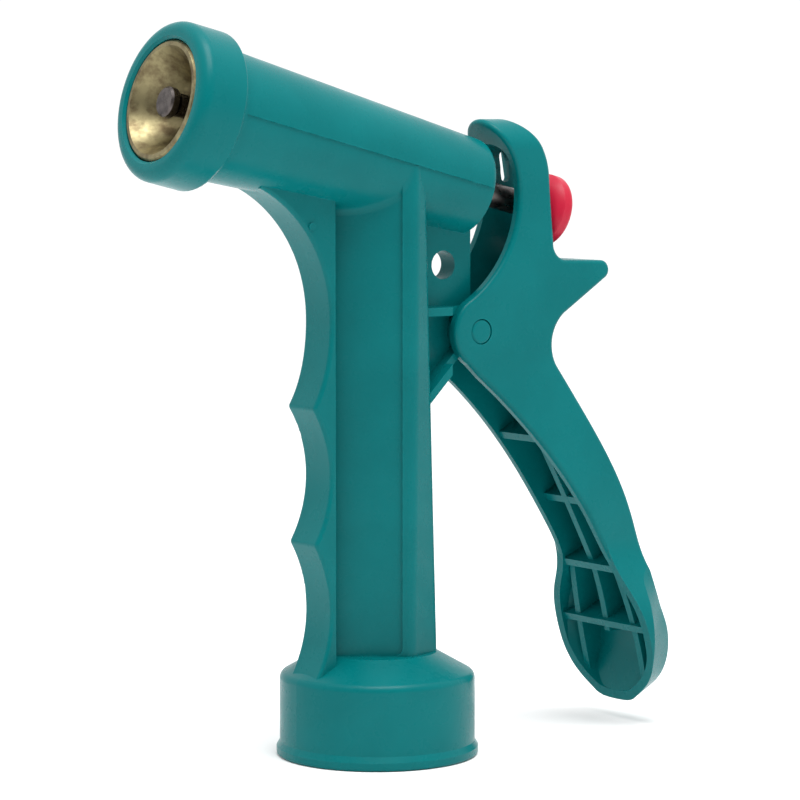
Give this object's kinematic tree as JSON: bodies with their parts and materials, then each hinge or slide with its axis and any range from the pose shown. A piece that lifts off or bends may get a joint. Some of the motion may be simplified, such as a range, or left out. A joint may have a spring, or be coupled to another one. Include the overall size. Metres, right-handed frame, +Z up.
{
  "type": "hose spray nozzle",
  "caption": "Pistol-grip garden hose spray nozzle with a rear squeeze lever, a spring-closed valve behind a turned insert in the mouth, and a knob that sets the flow.",
  "frame": {"origin": "centre of the hose collar's lower face, on the hose thread's axis", "axes": "+Z up the grip from the collar to the barrel, +X the way the water leaves, +Y to the left of someone who holds it"},
  "size_m": [0.1171, 0.0392, 0.1409],
  "materials": {
    "teal_plastic": "moulded satin gloss, teal",
    "red_plastic": "moulded gloss, red",
    "brass": "turned, slightly dull",
    "dark_metal": "turned, dark",
    "steel": "plated",
    "rubber": "moulded black rubber"
  },
  "bodies": {
    "grip": {"body": "teal_plastic", "spray_insert": "brass", "insert_gasket": "rubber", "gland_nut": "brass", "packing_ring": "rubber", "packing_washer": "brass", "spring_seat": "steel", "return_spring": "steel", "hose_washer": "rubber"},
    "lever": {"lever": "teal_plastic", "pivot_pin": "teal_plastic", "pin_retainer": "steel"},
    "stem": {"stem": "dark_metal", "stem_tip": "dark_metal", "valve_washer": "rubber", "washer_cup": "brass", "spring_cup": "brass"},
    "washer": {"thrust_washer": "red_plastic"},
    "knob": {"adjusting_knob": "red_plastic", "knob_nut": "brass"}
  },
  "joints": [
    {"name": "lever_squeeze", "type": "hinge", "parent": "grip", "child": "lever", "pos_m": [-0.0201, 0, 0.0818], "axis": [0, -1, 0], "range_deg": [0, 15], "stiffness_Nm_per_rad": 0.6, "springref_deg": -17.19},
    {"name": "stem_slide", "type": "slide", "parent": "grip", "child": "stem", "axis": [-0.9723, 0, -0.2338], "range_m": [0, 0.0065], "deforming": ["return_spring"]},
    {"name": "washer_slide", "type": "slide", "parent": "stem", "child": "washer", "axis": [-0.9723, 0, -0.2338], "range_m": [0, 0.001]},
    {"name": "knob_turn", "type": "hinge", "parent": "washer", "child": "knob", "pos_m": [0, 0, 0.11485], "axis": [-0.9723, 0, -0.2338], "range_deg": [0, 450]}
  ],
  "couplings": [
    {"joint": "stem_slide", "follows": "lever_squeeze", "m_per_rad": 0.024},
    {"joint": "knob_turn", "follows": "washer_slide", "rad_per_m": 7854}
  ]
}
